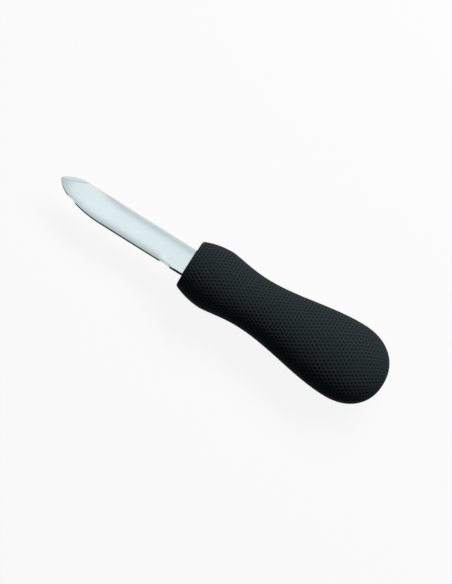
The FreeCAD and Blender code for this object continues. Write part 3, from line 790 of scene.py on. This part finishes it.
def model_cell(sizes):
    """Model one six-sided cell of the net with its round dimple, and its neighbour in the next row."""
    pitch = sizes.dimple_pitch
    deselect()
    bpy.ops.mesh.primitive_circle_add(vertices=6, radius=pitch / math.sqrt(3), fill_type="NGON")
    cell = named("grip_dimpled")
    edit(cell)
    bpy.ops.mesh.inset(thickness=pitch / 2 - sizes.dimple_radius)
    bpy.ops.mesh.select_mode(type="EDGE")
    bpy.ops.mesh.subdivide(number_cuts=1, ngon=True)
    bpy.ops.mesh.select_mode(type="FACE")
    net = bmesh.from_edit_mesh(cell.data)
    for vertex in net.verts:
        if vertex.select:
            flat = Vector((vertex.co.x, vertex.co.y, 0)).normalized() * sizes.dimple_radius
            vertex.co = flat - Vector((0, 0, RIM_FALL * sizes.dimple_depth))
    bmesh.update_edit_mesh(cell.data)
    bpy.ops.mesh.inset(
        thickness=WALL_BREADTH * sizes.dimple_radius, depth=-WALL_FALL * sizes.dimple_depth)
    bpy.ops.mesh.poke(offset=-FLOOR_FALL * sizes.dimple_depth)
    bpy.ops.mesh.select_all(action="SELECT")
    bpy.ops.mesh.duplicate()
    bpy.ops.transform.translate(value=(pitch / 2, pitch * math.sqrt(3) / 2, 0))
    close_edit()
    return cell


def spread_cells(cell, sizes, skin):
    """Repeat the cell into a flat sheet that covers half of the handle."""
    pitch = sizes.dimple_pitch
    reach = math.pi / 4 * sizes.palm_width
    columns = 2 * math.ceil(reach / pitch) + 3
    pairs = math.ceil(skin.along[-1] / (pitch * math.sqrt(3))) + 1
    for name, count, offset in (("round", columns, (pitch, 0, 0)),
                                ("along", pairs, (0, pitch * math.sqrt(3), 0))):
        array = cell.modifiers.new(name, "ARRAY")
        array.count = count
        array.use_relative_offset = False
        array.use_constant_offset = True
        array.constant_offset_displace = offset
        array.use_merge_vertices = True
        array.merge_threshold = SHEET_MERGE
    apply_modifiers(cell)
    edit(cell)
    bpy.ops.mesh.remove_doubles(threshold=SHEET_MERGE)
    bpy.ops.transform.translate(value=(-pitch * (columns // 2), 0, 0))
    close_edit()


def narrowing(sizes, x):
    """How much narrower the flat sheet is than the handle, where the pitch grows with its width."""
    wide, _thick = handle_halves(sizes, x)
    return 1 / np.clip(2 * wide / sizes.waist_width, *GROWTH_LIMITS) ** sizes.pitch_growth


def trim_sheet(cell, sizes, skin):
    """Take away the cells that lie past the seam or past the butt."""
    points = mesh_points(cell)
    x = skin.place_at(points[:, 1])
    past_seam = np.abs(points[:, 0]) - skin.quarter(x) * narrowing(sizes, x)
    past_butt = points[:, 1] - skin.along[-1]
    out = (past_seam > SEAM_SPARE * sizes.dimple_pitch) | (past_butt > BUTT_SPARE * sizes.dimple_pitch)
    edit(cell)
    net = bmesh.from_edit_mesh(cell.data)
    spare = [vertex for vertex, is_out in zip(net.verts, out) if is_out]
    bmesh.ops.delete(net, geom=spare, context="VERTS")
    bmesh.update_edit_mesh(cell.data)
    close_edit()


def wrap_sheet(cell, sizes, skin):
    """Wrap the flat sheet round the handle's upper half."""
    points = mesh_points(cell)
    along = np.clip(points[:, 1], 0, skin.along[-1])
    x = skin.place_at(along)
    around = points[:, 0] / narrowing(sizes, x)
    turn = np.clip(skin.turn_at(x, around), -WRAP_LIMIT, WRAP_LIMIT)
    surface, normals = skin.surface(x, turn)
    seam = skin.quarter(x) - np.abs(around)
    fade = smoothstep((seam - sizes.seam_strip) / sizes.fade_length)
    fade *= smoothstep(along / sizes.front_fade) * smoothstep((skin.along[-1] - along) / sizes.butt_fade)
    depth = points[:, 2] * fade
    set_points(cell, surface + normals * depth[:, None])
    # Keep each point's depth in its dimple, from which the rubber paints shade into the dimples
    mark_points(cell, "hollow", np.clip(-depth / sizes.dimple_depth, 0, 1))


def close_front(grip, sizes, start):
    """Round the front rim from the sheet's first ring and close the front face."""
    edit(grip)
    bpy.ops.mesh.select_all(action="DESELECT")
    bpy.ops.mesh.select_mode(type="EDGE")
    net = bmesh.from_edit_mesh(grip.data)
    for edge in net.edges:
        edge.select_set(edge.is_boundary and all(v.co.x < start + GRIP_MERGE for v in edge.verts))
    bmesh.update_edit_mesh(grip.data)
    before = start
    first = math.acos(1 - start / sizes.front_round)
    for turn in np.linspace(first, 0, FRONT_RINGS)[1:]:
        here = sizes.front_round * (1 - math.cos(turn))
        wide, thick = handle_halves(sizes, here)
        wide_before, thick_before = handle_halves(sizes, before)
        bpy.ops.mesh.extrude_region_move(TRANSFORM_OT_translate={"value": (here - before, 0, 0)})
        bpy.ops.transform.resize(
            value=(1, wide / wide_before, thick / thick_before), center_override=(here, 0, 0))
        before = here
    bpy.ops.mesh.edge_face_add()
    bpy.ops.mesh.inset(thickness=FRONT_BORDER)
    close_edit()


class KNIFE_OT_grip(bpy.types.Operator):
    """Model the soft grip as a net of dimples wrapped round the handle's form."""

    bl_idname = "knife.grip"
    bl_label = "Grip"

    def execute(self, context):
        sizes = context.scene.knife_grip
        start = sizes.front_round / 2
        skin = Skin(sizes, start)
        grip = model_cell(sizes)
        spread_cells(grip, sizes, skin)
        trim_sheet(grip, sizes, skin)
        wrap_sheet(grip, sizes, skin)
        edit(grip)
        bpy.ops.mesh.remove_doubles(threshold=GRIP_MERGE)
        for normal, middle in (((0, 0, -1), (0, 0, 0)), ((-1, 0, 0), (start, 0, 0))):
            bpy.ops.mesh.select_all(action="SELECT")
            bpy.ops.mesh.bisect(plane_co=middle, plane_no=normal, clear_outer=True, threshold=CUT_MERGE)
        close_edit()
        mirror_down(grip, GRIP_MERGE)
        close_front(grip, sizes, start)
        edit(grip)
        bpy.ops.mesh.remove_doubles(threshold=GRIP_MERGE)
        bpy.ops.mesh.dissolve_degenerate(threshold=CUT_MERGE)
        close_edit()
        finish_piece(grip, crease=60, material=rubber_material(sizes), node="grip")
        return {"FINISHED"}


def rubber_material(sizes):
    """Matt black soft plastic, with painted shade darkening the inside of the dimples."""
    material, nodes, links, shader = new_material("dimpled_rubber")
    shader.inputs["Specular IOR Level"].default_value = 0.005
    # Painted shade: deeper in a dimple, the net's colour turns to the darker hollow colour
    shade = mix_colours(
        nodes, links, own_mark(nodes, "hollow"), (*sizes.rubber, 1), (*sizes.hollow, 1))
    links.new(shade, shader.inputs["Base Color"])
    height = add_uneven_finish(nodes, links, shader, Scale=700, Detail=3, Smoothest=0.32, Roughest=0.48)
    add_bump(nodes, links, shader, height, strength=0.25, distance=0.03 * MM)
    return material


# Core

class KNIFE_OT_core(bpy.types.Operator):
    """Give the hidden core its moulded plastic."""

    bl_idname = "knife.core"
    bl_label = "Core"

    def execute(self, context):
        material, nodes, links, shader = new_material("moulded_core")
        shader.inputs["Base Color"].default_value = (*context.scene.knife_grip.core, 1)
        add_uneven_finish(nodes, links, shader, Scale=900, Detail=2, Smoothest=0.4, Roughest=0.55)
        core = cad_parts["handle_core"]
        core.data.materials.clear()
        core.data.materials.append(material)
        return {"FINISHED"}


# Stage

# Floor's breadth in metres, and how far it lies under the knife
FLOOR_BREADTH = 12
FLOOR_GAP = 0.05 * MM
# Middle and reach of the surround's soft glows, in degrees from overhead or, for the low one, of height
GLOW_ASIDE = (16, 11)
GLOW_ALONG = (-5.5, 11)
RIM_GLOW_ASIDE = (39, 7)
LOW_GLOW_HEIGHT = (0, 20)


class KNIFE_OT_stage(bpy.types.Operator):
    """Set the pale floor, the pale surround, the softbox and the camera."""

    bl_idname = "knife.stage"
    bl_label = "Stage"

    def execute(self, context):
        settings = context.scene.knife_stage
        make_floor(settings)
        make_surround(context, settings)
        make_softbox(context, settings)
        make_camera(context, settings)
        context.scene.view_settings.view_transform = "Standard"
        return {"FINISHED"}


def seen_rays(nodes, links):
    """Value that is 1 for the rays that show a surface: those of the camera, of gloss and of glass."""
    path = nodes.new("ShaderNodeLightPath")
    return math_steps(nodes, links, path.outputs["Is Camera Ray"], (
        ("MAXIMUM", path.outputs["Is Glossy Ray"]), ("MAXIMUM", path.outputs["Is Transmission Ray"])))


def make_floor(settings):
    """Lay a broad floor under the knife that is seen as nearly white and throws little light back."""
    deselect()
    height = CAD_BOX[0][2] - FLOOR_GAP
    bpy.ops.mesh.primitive_plane_add(size=FLOOR_BREADTH, location=(0, 0, height))
    floor = named("floor")
    bpy.ops.object.transform_apply(location=True, rotation=True, scale=True)
    material, nodes, links, shader = new_material("pale_floor")
    seen = seen_rays(nodes, links)
    shade = mix_colours(nodes, links, seen, (*settings.bounce, 1), (*settings.floor, 1))
    links.new(shade, shader.inputs["Base Color"])
    shader.inputs["Roughness"].default_value = 0.9
    shader.inputs["Specular IOR Level"].default_value = 0.0
    white = nodes.new("ShaderNodeEmission")
    amount = math_steps(nodes, links, seen, (("MULTIPLY", settings.floor_white),))
    mix = mix_shaders(nodes, links, amount, shader.outputs[0], white.outputs[0])
    links.new(mix, nodes["Material Output"].inputs["Surface"])
    floor.data.materials.append(material)


def bell(nodes, links, value, middle, reach):
    """Value that is 1 at the middle angle and fades softly over the reach, both in degrees."""
    return math_steps(nodes, links, value, (
        ("SUBTRACT", math.radians(middle)), ("DIVIDE", math.radians(reach)), ("POWER", 2),
        ("MULTIPLY", -1), ("EXPONENT", 0)))


def soft_glows(settings, nodes, links):
    """Brightness of the surround's soft glows: overhead, lower on the spine's side and round the horizon."""
    direction = nodes.new("ShaderNodeTexCoord")
    parts = nodes.new("ShaderNodeSeparateXYZ")
    links.new(direction.outputs["Generated"], parts.inputs[0])
    aside = math_steps(nodes, links, parts.outputs["Y"], (("ARCTAN2", parts.outputs["Z"]),))
    along = math_steps(nodes, links, parts.outputs["X"], (("ARCTAN2", parts.outputs["Z"]),))
    height = math_steps(nodes, links, parts.outputs["Z"], (("ARCSINE", 0),))
    rim = math_steps(nodes, links, bell(nodes, links, aside, *RIM_GLOW_ASIDE), (
        ("MULTIPLY", settings.rim_glow),))
    low = math_steps(nodes, links, bell(nodes, links, height, *LOW_GLOW_HEIGHT), (
        ("MULTIPLY", settings.low_glow),))
    return math_steps(nodes, links, bell(nodes, links, aside, *GLOW_ASIDE), (
        ("MULTIPLY", bell(nodes, links, along, *GLOW_ALONG)), ("MULTIPLY", settings.glow),
        ("ADD", rim), ("ADD", low)))


def make_surround(context, settings):
    """Light the scene evenly from all round and show a pale surround with three soft glows."""
    world = bpy.data.worlds.new("surround")
    context.scene.world = world
    world.use_nodes = True
    nodes, links = world.node_tree.nodes, world.node_tree.links
    even = nodes["Background"]
    even.inputs["Color"].default_value = WHITE
    even.inputs["Strength"].default_value = settings.fill
    pale = nodes.new("ShaderNodeBackground")
    pale.inputs["Color"].default_value = (*settings.surround, 1)
    glow = nodes.new("ShaderNodeBackground")
    glow.inputs["Color"].default_value = WHITE
    links.new(soft_glows(settings, nodes, links), glow.inputs["Strength"])
    shown = nodes.new("ShaderNodeAddShader")
    links.new(pale.outputs[0], shown.inputs[0])
    links.new(glow.outputs[0], shown.inputs[1])
    mix = mix_shaders(nodes, links, seen_rays(nodes, links), even.outputs[0], shown.outputs[0])
    links.new(mix, nodes["World Output"].inputs["Surface"])


def make_softbox(context, settings):
    """Hang a long softbox over the knife on the spine's side. Gloss shows the surround's glows instead."""
    light = bpy.data.lights.new("key", "AREA")
    light.shape = "RECTANGLE"
    light.size = settings.key_length
    light.size_y = settings.key_width
    light.energy = settings.key_power
    lamp = bpy.data.objects.new("key", light)
    context.collection.objects.link(lamp)
    across = math.sin(settings.key_lean)
    away = Vector((across * math.sin(settings.key_turn), across * math.cos(settings.key_turn),
                   math.cos(settings.key_lean)))
    lamp.location = away * settings.key_distance
    lamp.rotation_mode = "QUATERNION"
    lamp.rotation_quaternion = away.to_track_quat("Z", "Y")
    lamp.visible_glossy = False


def make_camera(context, settings):
    """Look down on the knife from its edge's side, with the knife sloping across the picture."""
    data = bpy.data.cameras.new("camera")
    data.lens = settings.lens
    camera = bpy.data.objects.new("camera", data)
    context.collection.objects.link(camera)
    context.scene.camera = camera
    back = Vector((0, -math.cos(settings.tilt), math.sin(settings.tilt)))
    level = Vector((1, 0, 0))
    upright = back.cross(level)
    right = level * math.cos(settings.roll) + upright * math.sin(settings.roll)
    up = back.cross(right)
    distance = settings.picture_height * settings.lens / data.sensor_width
    target = Vector((0, 0, FRONT_FACE.z)) + right * settings.shift_right - up * settings.shift_down
    turn = Matrix((right, up, back)).transposed().to_4x4()
    camera.matrix_world = Matrix.Translation(target + back * distance) @ turn


class KNIFE_PT_panel(bpy.types.Panel):
    """Lists the knife's operators and settings in the sidebar."""

    bl_idname = "KNIFE_PT_panel"
    bl_label = "Oyster Knife"
    bl_space_type = "VIEW_3D"
    bl_region_type = "UI"
    bl_category = "Oyster Knife"

    def draw(self, context):
        for operator, group in (("knife.blade", "knife_blade"), ("knife.grip", "knife_grip"),
                                ("knife.core", None), ("knife.stage", "knife_stage")):
            box = self.layout.box()
            box.operator(operator)
            if group:
                settings = getattr(context.scene, group)
                for name in settings.__annotations__:
                    box.prop(settings, name)


CLASSES = (BladeSizes, GripSizes, StageSettings,
           KNIFE_OT_blade, KNIFE_OT_grip, KNIFE_OT_core, KNIFE_OT_stage, KNIFE_PT_panel)


def register():
    """Register the classes and hang the settings on the scene."""
    for item in CLASSES:
        bpy.utils.register_class(item)
    bpy.types.Scene.knife_blade = bpy.props.PointerProperty(type=BladeSizes)
    bpy.types.Scene.knife_grip = bpy.props.PointerProperty(type=GripSizes)
    bpy.types.Scene.knife_stage = bpy.props.PointerProperty(type=StageSettings)


def unregister():
    """Take the settings off the scene and unregister the classes."""
    del bpy.types.Scene.knife_stage
    del bpy.types.Scene.knife_grip
    del bpy.types.Scene.knife_blade
    for item in reversed(CLASSES):
        bpy.utils.unregister_class(item)


def main():
    """Make the knife and its stage."""
    register()
    bpy.ops.knife.blade()
    bpy.ops.knife.grip()
    bpy.ops.knife.core()
    bpy.ops.knife.stage()


if __name__ == "__main__":
    main()
